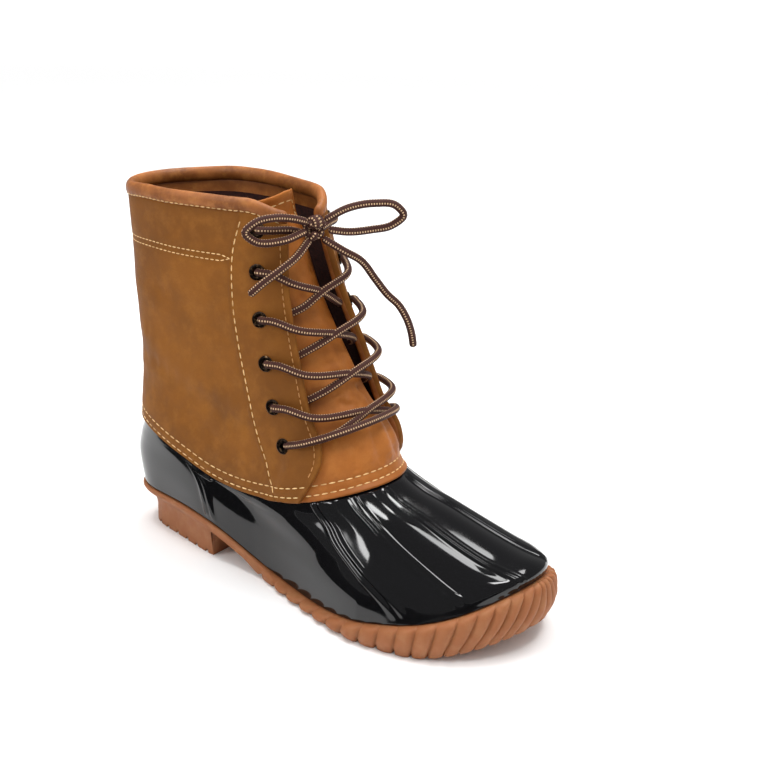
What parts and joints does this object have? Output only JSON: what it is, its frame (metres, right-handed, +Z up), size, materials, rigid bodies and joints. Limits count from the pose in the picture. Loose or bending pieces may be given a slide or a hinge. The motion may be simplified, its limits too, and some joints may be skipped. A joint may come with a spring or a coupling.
{
  "type": "duck boot",
  "caption": "Right duck boot: tan leather lace-up shaft over a ridged gloss black rubber lower on a ribbed gum rubber outsole with a low heel, tied in a bow with brown braided cord.",
  "frame": {"origin": "centre of the bounding box without the free laces, on the floor under the sole", "axes": "+X from heel to toe, +Y to the inner side of the foot, +Z up; right boot"},
  "size_m": [0.2759, 0.109, 0.2136],
  "materials": {
    "gum_rubber": "matt moulded gum rubber",
    "black_rubber": "high gloss moulded rubber",
    "tan_leather": "oiled nubuck",
    "orange_leather": "oiled nubuck",
    "collar_leather": "soft smooth leather",
    "footbed": "felted textile",
    "eyelet_metal": "antique dark plating",
    "lace_braid": "round braided cord",
    "webbing": "woven tape"
  },
  "bodies": {
    "root": {"outsole": "gum_rubber", "shell": "black_rubber", "upper": "tan_leather", "tongue": "orange_leather", "collar_binding": "collar_leather", "insole": "footbed", "eyelet_outer_1": "eyelet_metal", "eyelet_outer_2": "eyelet_metal", "eyelet_outer_3": "eyelet_metal", "eyelet_outer_4": "eyelet_metal", "eyelet_outer_5": "eyelet_metal", "eyelet_outer_6": "eyelet_metal", "eyelet_inner_1": "eyelet_metal", "eyelet_inner_2": "eyelet_metal", "eyelet_inner_3": "eyelet_metal", "eyelet_inner_4": "eyelet_metal", "eyelet_inner_5": "eyelet_metal", "eyelet_inner_6": "eyelet_metal", "lace_crossing_1": "lace_braid", "lace_crossing_2": "lace_braid", "lace_crossing_3": "lace_braid", "lace_crossing_4": "lace_braid", "lace_bar": "lace_braid", "lace_tie_outer": "lace_braid", "lace_tie_inner": "lace_braid", "lace_knot": "lace_braid", "lace_loop_left": "lace_braid", "lace_loop_right": "lace_braid", "lace_end_left": "lace_braid", "lace_end_right": "lace_braid", "pull_tab": "webbing"}
  },
  "joints": []
}
